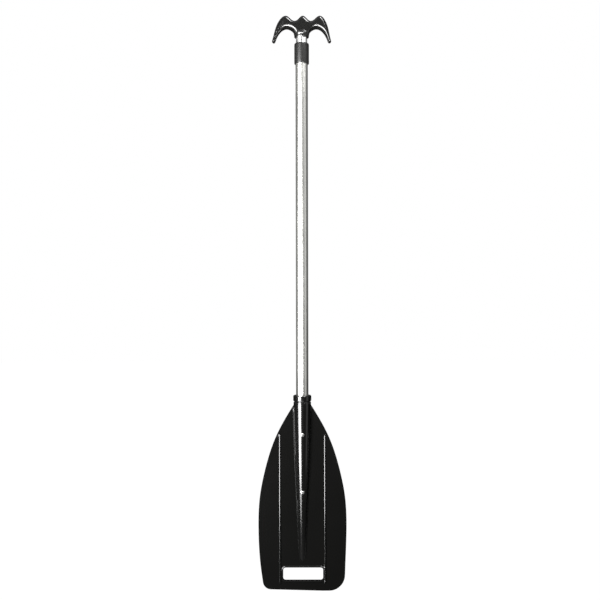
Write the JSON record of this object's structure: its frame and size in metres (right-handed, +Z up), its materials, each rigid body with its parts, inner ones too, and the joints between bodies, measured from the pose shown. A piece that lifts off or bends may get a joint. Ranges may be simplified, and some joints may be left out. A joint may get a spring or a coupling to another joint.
{
  "type": "telescoping paddle",
  "caption": "Telescoping boat paddle: moulded blade with a slot near its tip, aluminium shaft that slides and twist-locks, and a double boat-hook handle.",
  "frame": {"origin": "on the shaft's axis, level with the blade's tip edge", "axes": "+Z up the shaft towards the handle, +X across the blade, and the front of the blade faces -Y"},
  "size_m": [0.1812, 0.0372, 1.1813],
  "materials": {
    "black_plastic": "black moulded polypropylene, satin",
    "handle_plastic": "black moulded plastic, satin with a fine grain",
    "collar_plastic": "black moulded plastic, fine mottled grain",
    "satin_aluminium": "satin anodised",
    "bright_aluminium": "bright drawn",
    "rivet_aluminium": "plain, as set",
    "mandrel_steel": "dull steel, as set or broken off",
    "screw_steel": "plain stainless",
    "plug_plastic": "black moulded plastic",
    "nylon": "natural nylon"
  },
  "bodies": {
    "blade_section": {"blade": "black_plastic", "outer_tube": "satin_aluminium", "blade_rivets": "rivet_aluminium", "blade_rivet_mandrels": "mandrel_steel", "tube_plug": "plug_plastic", "collar": "collar_plastic"},
    "glide_section": {"glide_ring": "nylon"},
    "handle_section": {"inner_tube": "bright_aluminium", "hook_handle": "handle_plastic", "handle_rivet": "mandrel_steel", "lock_plug": "nylon", "lock_pin": "screw_steel", "cam_washer": "screw_steel", "cam_screw": "screw_steel"},
    "cam_section": {"lock_cam": "nylon"}
  },
  "joints": [
    {"name": "extension", "type": "slide", "parent": "blade_section", "child": "glide_section", "axis": [0, 0, 1], "range_m": [0, 0.65]},
    {"name": "lock_twist", "type": "hinge", "parent": "glide_section", "child": "handle_section", "pos_m": [0, 0, 0.461], "axis": [0, 0, 1], "range_deg": [-40, 40]},
    {"name": "cam_turn", "type": "hinge", "parent": "handle_section", "child": "cam_section", "pos_m": [0.00095, 0, 0.446], "axis": [0, 0, 1], "range_deg": [-40, 40]}
  ],
  "couplings": [
    {"joint": "cam_turn", "follows": "lock_twist", "ratio": -1}
  ]
}
